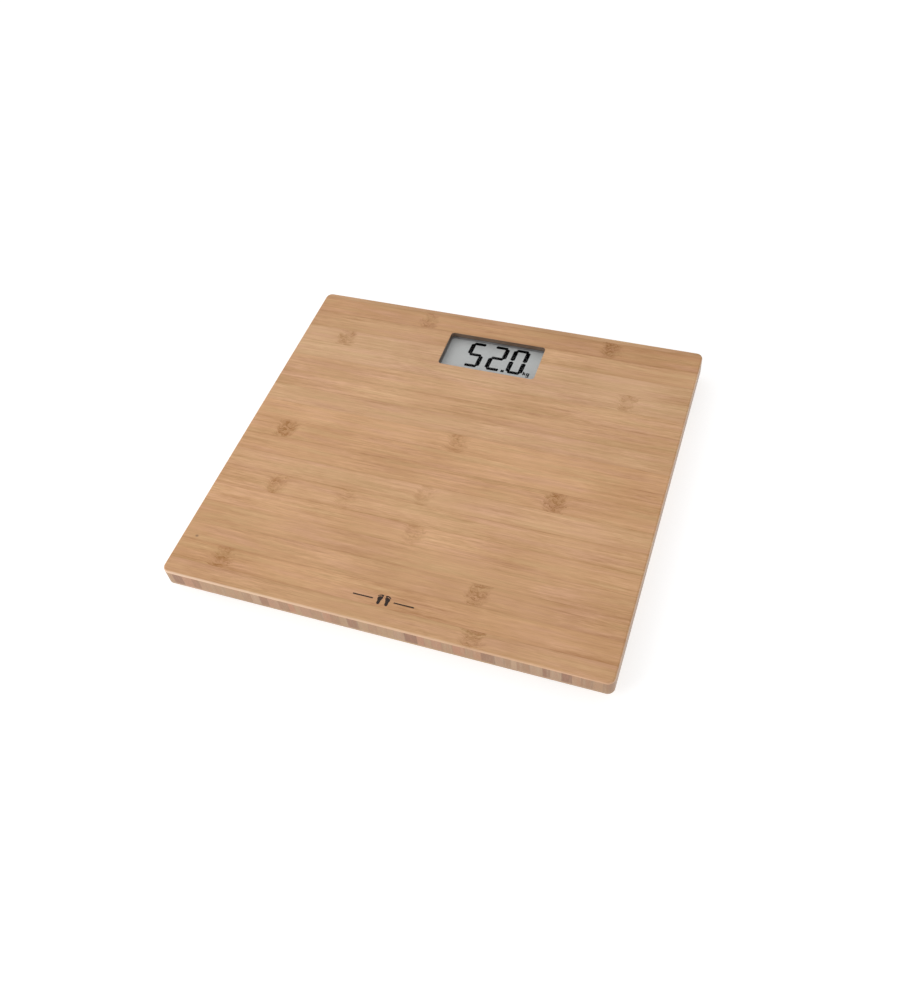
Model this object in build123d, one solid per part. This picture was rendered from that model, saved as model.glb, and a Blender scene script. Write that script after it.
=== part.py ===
"""Digital bathroom scale: a three-ply bamboo platform on four load-cell feet, with a recessed LCD.

Millimetres. The origin is on the floor under the platform's centre, +X is the user's right,
+Y points from the user's heels to the display and +Z is up.
"""

import math
import os

from build123d import *

# Platform board: thin face plies with strips along X, glued on a core with strips along Y
BOARD_W = 300.0
BOARD_D = 278.0
FACE_PLY = 2.2
CORE_PLY = 10.0
CORNER_R = 4.75
TOP_ROUND = 1.2
BOTTOM_ROUND = 0.7
BOARD_Z = 6.6
CORE_Z = BOARD_Z + FACE_PLY
FACE_Z = CORE_Z + CORE_PLY
TOP_Z = FACE_Z + FACE_PLY

# Display window through the board's top
WINDOW_W = 74.0
WINDOW_D = 34.0
WINDOW_Y = 101.5
WINDOW_R = 2.5
WINDOW_EDGE = 0.4
LENS_DEPTH = 6.0

# Pocket for the display and circuit, open to the underside
POCKET_W = 104.0
POCKET_FRONT = 45.0
POCKET_BACK = 126.0
POCKET_R = 6.0
POCKET_TOP = 17.2

# Display stack, from the lens down
LENS = (82.0, 42.0, 1.0)
GLASS = (80.0, 40.0, 1.1)
GLASS_REAR_D = 34.0
REFLECTOR_T = 0.2
ZEBRA = (72.0, 2.2)
FRAME_W = 96.0
FRAME_D = 47.0
FRAME_TOP = 16.8
NEST_GAP = 0.2
LENS_TOP = TOP_Z - LENS_DEPTH
LENS_Z = LENS_TOP - LENS[2]
LENS_GAP = 0.1
FRONT_GLASS_TOP = LENS_Z - LENS_GAP
FRONT_GLASS_Z = FRONT_GLASS_TOP - GLASS[2]
REAR_GLASS_Z = FRONT_GLASS_Z - GLASS[2]
REFLECTOR_Z = REAR_GLASS_Z - REFLECTOR_T

# Circuit board under the frame, with a tongue that carries the unit switch
PCB_TOP = 11.0
PCB_T = 1.2
PCB_Z = PCB_TOP - PCB_T
PCB_SCREW_X = 44.6
PCB_SCREW_Y = 19.0
BUTTON_X = 28.0
BATTERY_X = -24.0
BATTERY_Y = 63.0
TONGUE_W = 30.0
TONGUE_FRONT = 54.0

# Cover plate on the underside
COVER_W = 122.0
COVER_FRONT = 39.0
COVER_BACK = 132.0
COVER_R = 9.0
COVER_T = 1.6
COVER_Z = BOARD_Z - COVER_T
COVER_SCREW_X = 56.5
COVER_SCREW_YS = (56.0, 118.0)
RIM_T = 1.4
RIM_TOP = 8.2

# Coin cell and its round well
CELL_R = 10.0
CELL_T = 3.2
CELL_Z = 6.9
WELL_R = 10.3
WELL_WALL = 1.4
WELL_CEILING = 10.5
WELL_TOP = 11.7
LEDGE_TOP = 8.6
LEDGE_MARGIN = 2.4
CONTACT_T = 0.25
CONTACT_W = 5.0
CONTACT_END = 83.0

# Battery door, turning about a line along X
DOOR_W = 32.0
DOOR_BACK = 81.0
DOOR_T = 1.4
DOOR_GAP = 0.3
HINGE_Y = 50.6
HINGE_Z = COVER_Z + DOOR_T
HINGE_R = 1.4
KNUCKLE = 5.0
PIN_R = 0.7
PIN_OUT = 1.6
LATCH_W = 8.0
LATCH_D = 4.3
LATCH_TOP = 8.9
LATCH_T = 0.8
LATCH_GAP = 0.4

# Unit button over its switch
BUTTON_R = 4.0
BUTTON_FLANGE_R = 5.2
BUTTON_Z = 4.7
BUTTON_TOP = 7.3
SWITCH_SIDE = 6.2
SWITCH_Z = 7.9
PLUNGER_R = 1.7
PLUNGER_TOP = 8.6

# Feet, one under each corner
FOOT_X = 115.0
FOOT_Y = 104.0
FOOT_R = 25.0
FOOT_WALL = 1.8
FOOT_TOP = 11.0
FOOT_FLOOR = 9.6
COLLAR_R = 27.5
COLLAR_Z = 5.4
RING_Z = 2.3
RING_TOP = 3.5
LIP_R = 19.8
SKIRT_TOP = 5.5
CAP_FLANGE_R = 21.0
CAP_FLANGE_Z = 3.6
CAP_FLANGE_TOP = 5.0
CAP_R = 19.5
CAP_Z = 1.4
BOSS_R = 4.5
PAD_R = 18.0
PAD_T = 2.2
FOOT_SCREW_R = 20.0
FEET = {
    "front_left": (-FOOT_X, -FOOT_Y),
    "front_right": (FOOT_X, -FOOT_Y),
    "back_left": (-FOOT_X, FOOT_Y),
    "back_right": (FOOT_X, FOOT_Y),
}

# Load cell plate held in each foot
CELL_PLATE = 34.0
CELL_PLATE_Z = 6.6
CELL_PLATE_T = 1.2
SLOT = 2.0
SLOT_START = -11.0
SLOT_END = 8.0
TONGUE_HALF = 7.0
COAT_START = 6.0
COAT_END = 13.0
COAT_T = 1.7

# Load cell leads, and the channels routed for them
WIRE_R = 0.5
WIRE_PITCH = 1.4
WIRE_Z = 8.9
WIRE_BEND = 2.5
SPINE_FIRST = 0.7
SPINE_END = 81.0
SIDE_END = 44.0
CHANNEL_FLOOR = 10.4
STRIP_T = 1.6
CROSS_CHANNEL = 7.0
CROSS_STRIP = 11.0
SPINE_CHANNEL = 11.0
SPINE_STRIP = 15.0
FIT = 0.1


def slab(width, depth, low, high, x=0.0, y=0.0, radius=0.0):
    """Upright block between two heights, with rounded corners where a radius is given."""
    outline = RectangleRounded(width, depth, radius) if radius else Rectangle(width, depth)
    return Pos(x, y, low) * extrude(outline, high - low)


def disc(radius, low, high, x=0.0, y=0.0):
    """Upright round solid between two heights."""
    return Pos(x, y, low) * extrude(Circle(radius), high - low)


def ring(outer, inner, low, high, x=0.0, y=0.0):
    """Upright hollow round solid between two heights."""
    return Pos(x, y, low) * extrude(Circle(outer) - Circle(inner), high - low)


def span(x0, x1, y0, y1, low, high):
    """Block between two X places, two Y places and two heights."""
    return slab(x1 - x0, y1 - y0, low, high, (x0 + x1) / 2, (y0 + y1) / 2)


def joined(solids):
    """Separate solids as one node."""
    return Compound(children=list(solids))


def rounded(shape, face, radius):
    """The shape with the outer edge of one of its faces rounded."""
    return fillet(face.outer_wire().edges(), radius)


def top_face(shape):
    return shape.faces().sort_by(Axis.Z)[-1]


def bottom_face(shape):
    return shape.faces().sort_by(Axis.Z)[0]


def screw(head_r, head_h, shank_r, length, flat=False):
    """Cross-head screw pointing up, with its head's underside, or a flat head's face, at zero."""
    point = min(2.0, length / 3)
    shank = disc(shank_r, 0, length - point)
    tip = Pos(0, 0, length - point / 2) * Cone(shank_r, 0.3, point)
    if flat:
        head = Pos(0, 0, head_h / 2) * Cone(head_r, shank_r, head_h)
        face = 0.0
    else:
        head = fillet(bottom_face(disc(head_r, -head_h, 0)).edges(), head_h * 0.45)
        face = -head_h
    cross = slab(head_r * 1.1, 0.55, face, face + head_h * 0.6)
    cross += slab(0.55, head_r * 1.1, face, face + head_h * 0.6)
    return shank + tip + head - cross


def window(low, high, grow=0.0):
    """The display window's outline as a solid, made larger all round by grow."""
    return slab(
        WINDOW_W + 2 * grow, WINDOW_D + 2 * grow, low, high, y=WINDOW_Y, radius=WINDOW_R + grow
    )


def board_outline(low, high):
    return slab(BOARD_W, BOARD_D, low, high, radius=CORNER_R)


def pocket(low, high):
    """The display and circuit pocket between two heights."""
    depth = POCKET_BACK - POCKET_FRONT
    middle = (POCKET_FRONT + POCKET_BACK) / 2
    return slab(POCKET_W, depth, low, high, y=middle, radius=POCKET_R)


def foot_seats(low, high):
    """The four round seats for the feet between two heights."""
    return [disc(FOOT_R + NEST_GAP, low, high, x, y) for x, y in FEET.values()]


def lead_channels(low, high):
    """Channels for the leads: across the front, up the middle, and in from each back foot."""
    half_cross, half_spine = CROSS_CHANNEL / 2, SPINE_CHANNEL / 2
    inner = FOOT_X - FOOT_R
    cuts = [
        span(-inner - 1, inner + 1, -FOOT_Y - half_cross, -FOOT_Y + half_cross, low, high),
        span(-half_spine, half_spine, -FOOT_Y, POCKET_FRONT + 1, low, high),
    ]
    for side in (-1, 1):
        ends = sorted((side * (POCKET_W / 2 - 1), side * (inner + 1)))
        cuts.append(span(*ends, FOOT_Y - half_cross, FOOT_Y + half_cross, low, high))
    return cuts


def strip_seats(grow=0.0):
    """The four covered stretches of channel as solids: cross, spine, back left and back right."""
    low, high = BOARD_Z, BOARD_Z + STRIP_T
    inner = FOOT_X - COLLAR_R - FIT
    half_cross, half_spine = CROSS_STRIP / 2 + grow, SPINE_STRIP / 2 + grow
    cross = span(-inner, inner, -FOOT_Y - half_cross, -FOOT_Y + half_cross, low, high)
    spine_start = -FOOT_Y + CROSS_STRIP / 2 + FIT - grow
    spine = span(-half_spine, half_spine, spine_start, COVER_FRONT - FIT, low, high)
    backs = []
    for side in (-1, 1):
        ends = sorted((side * (COVER_W / 2 + FIT), side * inner))
        backs.append(span(*ends, FOOT_Y - half_cross, FOOT_Y + half_cross, low, high))
    return cross, spine, backs


def cover_screw_places():
    return [(side * COVER_SCREW_X, y) for side in (-1, 1) for y in COVER_SCREW_YS]


def foot_screw_places(exit_side):
    """Screw centres in a foot, leaving the side where its leads go out free."""
    turns = (90, 270, 180 if exit_side > 0 else 0)
    return [
        (FOOT_SCREW_R * math.cos(math.radians(t)), FOOT_SCREW_R * math.sin(math.radians(t)))
        for t in turns
    ]


COVER_SCREW = dict(head_r=2.7, head_h=1.3, shank_r=1.4, length=9.6, flat=True)
FOOT_SCREW = dict(head_r=2.3, head_h=1.4, shank_r=1.3, length=7.2)
PCB_SCREW = dict(head_r=1.7, head_h=1.1, shank_r=0.85, length=4.6)
SCREW_FIT = 0.03


def board_screw_holes():
    """Pilot holes in the board for the cover's and the feet's screws."""
    holes = []
    radius = COVER_SCREW["shank_r"] + SCREW_FIT
    for x, y in cover_screw_places():
        holes.append(disc(radius, BOARD_Z - 1, COVER_Z + COVER_SCREW["length"] + 0.4, x, y))
    radius = FOOT_SCREW["shank_r"] + SCREW_FIT
    for x, y in FEET.values():
        for dx, dy in foot_screw_places(-math.copysign(1, x)):
            top = FOOT_FLOOR + FOOT_SCREW["length"] + 0.4
            holes.append(disc(radius, FOOT_TOP, top, x + dx, y + dy))
    return holes


def bamboo_top_ply():
    ply = board_outline(FACE_Z, TOP_Z)
    ply = rounded(ply, top_face(ply), TOP_ROUND)
    ply -= window(FACE_Z, TOP_Z)
    rim = top_face(ply).inner_wires()[0].edges()
    return fillet(rim, WINDOW_EDGE)


def bamboo_core_ply():
    ply = board_outline(CORE_Z, FACE_Z)
    ply -= window(CORE_Z, FACE_Z)
    ply -= pocket(CORE_Z, POCKET_TOP)
    ply -= foot_seats(CORE_Z, FOOT_TOP)
    ply -= lead_channels(CORE_Z, CHANNEL_FLOOR)
    ply -= board_screw_holes()
    return ply


def bamboo_bottom_ply():
    ply = board_outline(BOARD_Z, CORE_Z)
    ply = rounded(ply, bottom_face(ply), BOTTOM_ROUND)
    ply -= pocket(BOARD_Z, CORE_Z)
    ply -= foot_seats(BOARD_Z, CORE_Z)
    ply -= lead_channels(BOARD_Z + STRIP_T, CORE_Z)
    cross, spine, backs = strip_seats(grow=FIT)
    ply -= [cross, spine, *backs]
    ply -= board_screw_holes()
    return ply


def display_gasket():
    """Black foam between the wood and the display frame."""
    outer = slab(WINDOW_W + 12, WINDOW_D + 10, FRAME_TOP, POCKET_TOP, y=WINDOW_Y, radius=4)
    return outer - window(FRAME_TOP, POCKET_TOP, grow=0.1)


def display_frame():
    """Carrier with a nest for the lens and glass, and screw holes in its thick end walls."""
    body = slab(FRAME_W, FRAME_D, PCB_TOP, FRAME_TOP, y=WINDOW_Y, radius=3)
    nest = slab(LENS[0] + 2 * NEST_GAP, LENS[1] + 2 * NEST_GAP, PCB_TOP, LENS_TOP, y=WINDOW_Y)
    body -= nest
    body -= window(LENS_TOP, FRAME_TOP)
    body -= [disc(PCB_SCREW["shank_r"] + SCREW_FIT, PCB_TOP, 15.0, x, y) for x, y in pcb_screw_places()]
    return body


def display_lens():
    return slab(LENS[0], LENS[1], LENS_Z, LENS_TOP, y=WINDOW_Y)


def lcd_front_glass():
    return slab(GLASS[0], GLASS[1], FRONT_GLASS_Z, FRONT_GLASS_TOP, y=WINDOW_Y)


def lcd_rear_glass():
    return slab(GLASS[0], GLASS_REAR_D, REAR_GLASS_Z, FRONT_GLASS_Z, y=WINDOW_Y)


def lcd_reflector():
    return slab(GLASS[0], GLASS_REAR_D, REFLECTOR_Z, REAR_GLASS_Z, y=WINDOW_Y)


def zebra_strips():
    """Elastomer connectors between the front glass's two ledges and the circuit board."""
    offset = (GLASS_REAR_D + GLASS[1]) / 4
    return joined(
        slab(*ZEBRA, PCB_TOP, FRONT_GLASS_Z, y=WINDOW_Y + side * offset) for side in (-1, 1)
    )


def pcb_screw_places():
    return [
        (sx * PCB_SCREW_X, WINDOW_Y + sy * PCB_SCREW_Y) for sx in (-1, 1) for sy in (-1, 1)
    ]


def circuit_board():
    front = WINDOW_Y - FRAME_D / 2
    board = slab(FRAME_W, FRAME_D, PCB_Z, PCB_TOP, y=WINDOW_Y)
    half = TONGUE_W / 2
    board += span(BUTTON_X - half, BUTTON_X + half, TONGUE_FRONT, front, PCB_Z, PCB_TOP)
    board -= [disc(PCB_SCREW["shank_r"] + 0.15, PCB_Z, PCB_TOP, x, y) for x, y in pcb_screw_places()]
    return board


def chip_coating():
    """Epoxy drop over the bare chip."""
    drop = disc(6.5, PCB_Z - 1.1, PCB_Z, 20, 102)
    return fillet(bottom_face(drop).edges(), 0.9)


def surface_parts():
    """Resistors and capacitors in two rows, a crystal can and a regulator."""
    row = [
        slab(2.0, 1.25, PCB_Z - 0.6, PCB_Z, x, y)
        for x in (-24, -19, -14, -9)
        for y in (94, 99)
    ]
    crystal = slab(8.0, 3.2, PCB_Z - 1.6, PCB_Z, 20, 88, radius=1.5)
    regulator = slab(3.0, 1.6, PCB_Z - 1.0, PCB_Z, -17, 108)
    return joined([*row, crystal, regulator])


def unit_switch():
    """Low tactile switch body with a bore for its plunger."""
    body = slab(SWITCH_SIDE, SWITCH_SIDE, SWITCH_Z, PCB_Z, BUTTON_X, BATTERY_Y)
    return body - disc(PLUNGER_R + 0.08, SWITCH_Z, PLUNGER_TOP + 0.6, BUTTON_X, BATTERY_Y)


def unit_switch_plunger():
    return disc(PLUNGER_R, BUTTON_TOP, PLUNGER_TOP, BUTTON_X, BATTERY_Y)


def unit_button():
    """Button that drops into the cover's hole as far as its flange."""
    cap = disc(BUTTON_R, BUTTON_Z, COVER_Z + COVER_T + 0.05, BUTTON_X, BATTERY_Y)
    cap = fillet(bottom_face(cap).edges(), 0.5)
    return cap + disc(
        BUTTON_FLANGE_R, COVER_Z + COVER_T + 0.05, BUTTON_TOP, BUTTON_X, BATTERY_Y
    )


def electronics_cover():
    middle = (COVER_FRONT + COVER_BACK) / 2
    plate = slab(
        COVER_W, COVER_BACK - COVER_FRONT, COVER_Z, BOARD_Z, y=middle, radius=COVER_R
    )
    plate = rounded(plate, bottom_face(plate), 0.9)
    plate += locating_rim()
    plate += [disc(2.5, BOARD_Z, PCB_Z, sx * 36, y) for sx in (-1, 1) for y in (89, 119)]
    plate += battery_ledge()
    plate += disc(WELL_R + WELL_WALL, BOARD_Z, WELL_TOP, BATTERY_X, BATTERY_Y)
    plate -= disc(WELL_R, COVER_Z, WELL_CEILING, BATTERY_X, BATTERY_Y)
    plate -= door_opening()
    plate -= disc(BUTTON_R + 0.3, COVER_Z, BOARD_Z, BUTTON_X, BATTERY_Y)
    plate -= [cover_screw_hole(x, y) for x, y in cover_screw_places()]
    plate -= contact_slots()
    plate -= fingernail_scoop()
    return plate


def locating_rim():
    """Low wall that drops into the wood pocket."""
    middle = (POCKET_FRONT + POCKET_BACK) / 2
    width, depth = POCKET_W - 0.8, POCKET_BACK - POCKET_FRONT - 0.8
    outer = slab(width, depth, BOARD_Z, RIM_TOP, y=middle, radius=POCKET_R - 0.4)
    inner = slab(
        width - 2 * RIM_T, depth - 2 * RIM_T, BOARD_Z, RIM_TOP, y=middle, radius=POCKET_R - 1.8
    )
    return outer - inner


def battery_ledge():
    """Raised floor over the door's place, which carries the round well."""
    half = DOOR_W / 2 + LEDGE_MARGIN
    front, back = HINGE_Y - HINGE_R - LEDGE_MARGIN, DOOR_BACK + LEDGE_MARGIN
    return span(BATTERY_X - half, BATTERY_X + half, front, back, BOARD_Z, LEDGE_TOP)


def door_opening():
    """The door's place in the plate, with its knuckle groove, latch hole and pin bores."""
    half = DOOR_W / 2 + DOOR_GAP
    front = HINGE_Y - HINGE_R - DOOR_GAP
    back = DOOR_BACK + DOOR_GAP
    hole = span(BATTERY_X - half, BATTERY_X + half, front, back, COVER_Z, BOARD_Z)
    half_latch = LATCH_W / 2 + LATCH_GAP
    latch_front = DOOR_BACK - LATCH_D - LATCH_GAP
    latch = span(
        BATTERY_X - half_latch, BATTERY_X + half_latch, latch_front, back, BOARD_Z, LEDGE_TOP
    )
    hinge = Pos(BATTERY_X, HINGE_Y, HINGE_Z) * Rot(0, 90, 0)
    groove = hinge * Cylinder(HINGE_R + DOOR_GAP, DOOR_W + 2 * DOOR_GAP)
    bores = hinge * Cylinder(PIN_R + 0.05, DOOR_W + 2 * (PIN_OUT + 0.2))
    return hole + latch + groove + bores


def cover_screw_hole(x, y):
    """Countersunk hole that the flat screw head seats in."""
    head_r, head_h, shank_r = (COVER_SCREW[k] for k in ("head_r", "head_h", "shank_r"))
    sink = Cone(head_r + 0.04, shank_r + 0.04, head_h)
    return Pos(x, y, COVER_Z + head_h / 2) * sink + disc(shank_r + 0.04, COVER_Z, BOARD_Z, x, y)


def contact_slots():
    """Ways through the well's wall for the two battery contacts."""
    reach = WELL_R + WELL_WALL + 1
    back = span(
        BATTERY_X - 3, BATTERY_X + 3, BATTERY_Y + 7, BATTERY_Y + reach, 9.2, WELL_CEILING
    )
    side = span(
        BATTERY_X + CELL_R - 0.2, BATTERY_X + reach, BATTERY_Y - 2.5, BATTERY_Y + 2.5, 7.0, WELL_CEILING
    )
    return [back, side]


def fingernail_scoop():
    """Shallow hollow beside the latch, for opening the door."""
    return disc(5.0, COVER_Z, COVER_Z + 0.8, BATTERY_X, DOOR_BACK + 1.5)


def battery_door():
    """Door with a rounded hinge edge, two pins, ribs that press the cell, and a sprung latch."""
    half = DOOR_W / 2
    x0, x1 = BATTERY_X - half, BATTERY_X + half
    door = span(x0, x1, HINGE_Y, DOOR_BACK, COVER_Z, HINGE_Z)
    hinge = Pos(BATTERY_X, HINGE_Y, HINGE_Z) * Rot(0, 90, 0)
    door += hinge * Cylinder(HINGE_R, DOOR_W)
    door += hinge * Cylinder(PIN_R, DOOR_W + 2 * PIN_OUT)
    for dx in (-5, 5):
        door += span(
            BATTERY_X + dx - 0.6, BATTERY_X + dx + 0.6, 57.0, 69.0, HINGE_Z, CELL_Z - 0.02
        )
    half_notch = LATCH_W / 2 + LATCH_GAP
    notch_front = DOOR_BACK - LATCH_T - 2 * LATCH_GAP
    door -= span(
        BATTERY_X - half_notch, BATTERY_X + half_notch, notch_front, DOOR_BACK, COVER_Z, HINGE_Z
    )
    door -= [slab(10.0, 0.6, COVER_Z, COVER_Z + 0.4, BATTERY_X, y) for y in (71.4, 73.0, 74.6)]
    return door + battery_latch()


def battery_latch():
    """Sprung U on the door's back edge, whose nose stands over the plate's edge."""
    back, front = DOOR_BACK, DOOR_BACK - LATCH_D
    nose = DOOR_BACK + DOOR_GAP - 0.1
    points = [
        (front, HINGE_Z),
        (front, LATCH_TOP),
        (back, LATCH_TOP),
        (back, BOARD_Z + 1.0),
        (nose, BOARD_Z + 0.6),
        (nose, BOARD_Z + 0.3),
        (back, BOARD_Z + 0.1),
        (back, COVER_Z),
        (back - LATCH_T, COVER_Z),
        (back - LATCH_T, LATCH_TOP - LATCH_T),
        (front + LATCH_T, LATCH_TOP - LATCH_T),
        (front + LATCH_T, HINGE_Z),
    ]
    profile = Plane.YZ * make_face(Polyline(*points, close=True))
    return Pos(BATTERY_X - LATCH_W / 2, 0, 0) * extrude(profile, LATCH_W)


def coin_cell():
    """Round cell with its smaller negative face up."""
    can = disc(CELL_R, CELL_Z, CELL_Z + CELL_T - 0.25, BATTERY_X, BATTERY_Y)
    can = fillet(bottom_face(can).edges(), 0.4)
    return can + disc(
        CELL_R - 1.4, CELL_Z + CELL_T - 0.25, CELL_Z + CELL_T, BATTERY_X, BATTERY_Y
    )


def battery_contact_negative():
    """Sprung strip from the cell's upper face, out of the well and down to the circuit board."""
    upper, lower = CELL_Z + CELL_T, PCB_Z - CONTACT_T
    turn = BATTERY_Y + WELL_R + WELL_WALL + 1.2
    points = [
        (BATTERY_Y - 3, upper),
        (BATTERY_Y - 3, upper + CONTACT_T),
        (turn + CONTACT_T, upper + CONTACT_T),
        (turn + CONTACT_T, PCB_Z),
        (CONTACT_END, PCB_Z),
        (CONTACT_END, lower),
        (turn, lower),
        (turn, upper),
    ]
    profile = Plane.YZ * make_face(Polyline(*points, close=True))
    return Pos(BATTERY_X - CONTACT_W / 2, 0, 0) * extrude(profile, CONTACT_W)


def battery_contact_positive():
    """Strip that presses on the cell's side, then runs past the well to the circuit board."""
    inner = BATTERY_X + CELL_R + 0.02
    low, high = PCB_Z - CONTACT_T, PCB_Z
    clip = span(inner, inner + CONTACT_T, BATTERY_Y - 2, BATTERY_Y + 2, 7.4, high)
    shelf = span(inner, -8.0, BATTERY_Y - 2, BATTERY_Y + 2, low, high)
    run = span(-12.0, -8.0, BATTERY_Y + 2, CONTACT_END, low, high)
    return clip + shelf + run


def cover_screws():
    return joined(Pos(x, y, COVER_Z) * screw(**COVER_SCREW) for x, y in cover_screw_places())


def pcb_screws():
    return joined(Pos(x, y, PCB_Z) * screw(**PCB_SCREW) for x, y in pcb_screw_places())


def foot_screws():
    placed = []
    for x, y in FEET.values():
        for dx, dy in foot_screw_places(-math.copysign(1, x)):
            placed.append(Pos(x + dx, y + dy, FOOT_FLOOR) * screw(**FOOT_SCREW))
    return joined(placed)


def facing_centre(shape, x, y):
    """A foot part made with its leads leaving along +X, set at its corner facing the middle."""
    return Pos(x, y, 0) * Rot(0, 0, 180 if x > 0 else 0) * shape


def foot_housing():
    """Round cup screwed up into its seat, with a collar over the seat's edge."""
    inner = FOOT_R - FOOT_WALL
    cup = disc(FOOT_R, RING_TOP, FOOT_TOP) - disc(inner, RING_TOP, FOOT_FLOOR)
    collar = ring(COLLAR_R, FOOT_R - 0.5, COLLAR_Z, BOARD_Z)
    cup += rounded(collar, bottom_face(collar), 0.6)
    cup += [
        slab(24.0, 3.0, CELL_PLATE_Z + CELL_PLATE_T, FOOT_FLOOR, y=side * 14.5) for side in (-1, 1)
    ]
    cup -= [
        disc(FOOT_SCREW["shank_r"] + 0.1, FOOT_FLOOR, FOOT_TOP, dx, dy)
        for dx, dy in foot_screw_places(1)
    ]
    return cup - span(inner - 1, FOOT_R + 1, -2.6, 2.6, BOARD_Z + STRIP_T, FOOT_FLOOR)


def foot_ring():
    """Snap ring that closes the cup and keeps the foot in."""
    lip = ring(FOOT_R, LIP_R, RING_Z, RING_TOP)
    lip = rounded(lip, bottom_face(lip), 0.6)
    skirt = FOOT_R - FOOT_WALL - FIT
    return lip + ring(skirt, skirt - 1.4, RING_TOP, SKIRT_TOP)


def foot_cap():
    """Moving plastic foot: a flange kept in by the ring, and a boss on the load cell's tongue."""
    cap = disc(CAP_R, CAP_Z, CAP_FLANGE_Z)
    cap = fillet(bottom_face(cap).edges(), 0.5)
    cap += disc(CAP_FLANGE_R, CAP_FLANGE_Z, CAP_FLANGE_TOP)
    cap += disc(BOSS_R, CAP_FLANGE_TOP, CELL_PLATE_Z)
    return cap - disc(PAD_R + NEST_GAP, CAP_Z, PAD_T)


def foot_pad():
    """Rubber disc with round grooves, set in the cap."""
    pad = disc(PAD_R, 0, PAD_T)
    pad = fillet(bottom_face(pad).edges(), 0.6)
    return pad - [ring(r, r - 1.2, 0, 0.5) for r in (15.0, 11.0, 7.0)]


def load_cell():
    """Steel plate with a U slot that frees a tongue, rooted on the side where the leads leave."""
    low, high = CELL_PLATE_Z, CELL_PLATE_Z + CELL_PLATE_T
    plate = slab(CELL_PLATE, CELL_PLATE, low, high, radius=5.0)
    outer = TONGUE_HALF + SLOT
    around_tongue = span(SLOT_START, SLOT_END, -outer, outer, low, high)
    tongue = span(SLOT_START + SLOT, SLOT_END, -TONGUE_HALF, TONGUE_HALF, low, high)
    return plate - (around_tongue - tongue)


def strain_gauge():
    """Foil gauge on the root of the tongue."""
    low = CELL_PLATE_Z + CELL_PLATE_T
    return slab(5.0, 4.0, low, low + 0.25, x=9.5)


def gauge_coating():
    """Soft white coating over the gauge, where the leads start."""
    low = CELL_PLATE_Z + CELL_PLATE_T
    coat = span(COAT_START, COAT_END, -4.0, 4.0, low, low + COAT_T)
    coat = fillet(coat.edges().filter_by(Axis.Z), 1.2)
    return coat - strain_gauge()


def lead_path(x, y, place):
    """Centre line of one of a foot's three leads; place is -1, 0 or 1 across the channel."""
    side = math.copysign(1, x)
    start = x - side * COAT_END
    line_y = y + place * WIRE_PITCH
    if y > 0:
        return Polyline((start, line_y, WIRE_Z), (side * SIDE_END, line_y, WIRE_Z))
    column = side * (SPINE_FIRST + (place + 1) * WIRE_PITCH)
    bend = WIRE_BEND + (1 - place) * WIRE_PITCH
    points = [(start, line_y, WIRE_Z), (column, line_y, WIRE_Z), (column, SPINE_END, WIRE_Z)]
    return FilletPolyline(*points, radius=bend)


def leads(place):
    """The lead of one colour from each of the four feet."""
    wires = []
    for x, y in FEET.values():
        path = lead_path(x, y, place)
        section = Plane(path @ 0, z_dir=path % 0) * Circle(WIRE_R)
        wires.append(sweep(section, path))
    return joined(wires)


def solder_joints():
    """A drop of solder over the end of each lead."""
    low = WIRE_Z + WIRE_R
    drops = []
    for x, y in FEET.values():
        for place in (-1, 0, 1):
            end = lead_path(x, y, place) @ 1
            inward = (0, -0.7) if y < 0 else (math.copysign(0.7, x), 0)
            drops.append(disc(0.6, low, PCB_Z, end.X + inward[0], end.Y + inward[1]))
    return joined(drops)


def write(name, shape):
    export_step(shape, f"parts/{name}.step")


def main():
    os.makedirs("parts", exist_ok=True)
    single = [
        bamboo_top_ply,
        bamboo_core_ply,
        bamboo_bottom_ply,
        display_gasket,
        display_frame,
        display_lens,
        lcd_front_glass,
        lcd_rear_glass,
        lcd_reflector,
        zebra_strips,
        circuit_board,
        chip_coating,
        surface_parts,
        solder_joints,
        pcb_screws,
        unit_switch,
        unit_switch_plunger,
        unit_button,
        electronics_cover,
        cover_screws,
        battery_door,
        coin_cell,
        battery_contact_negative,
        battery_contact_positive,
        foot_screws,
    ]
    for maker in single:
        write(maker.__name__, maker())
    for corner, (x, y) in FEET.items():
        for maker in (foot_housing, foot_ring, foot_cap, foot_pad, load_cell):
            write(f"{maker.__name__}_{corner}", facing_centre(maker(), x, y))
    for maker in (strain_gauge, gauge_coating):
        placed = joined(facing_centre(maker(), x, y) for x, y in FEET.values())
        write(f"{maker.__name__}s", placed)
    for colour, place in (("red", 1), ("white", 0), ("black", -1)):
        write(f"{colour}_leads", leads(place))
    cross, spine, backs = strip_seats()
    write("channel_cover_cross", cross)
    write("channel_cover_spine", spine)
    write("channel_covers_back", joined(backs))


main()
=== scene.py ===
import math

import bmesh
import bpy
from mathutils import Matrix, Vector


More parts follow.
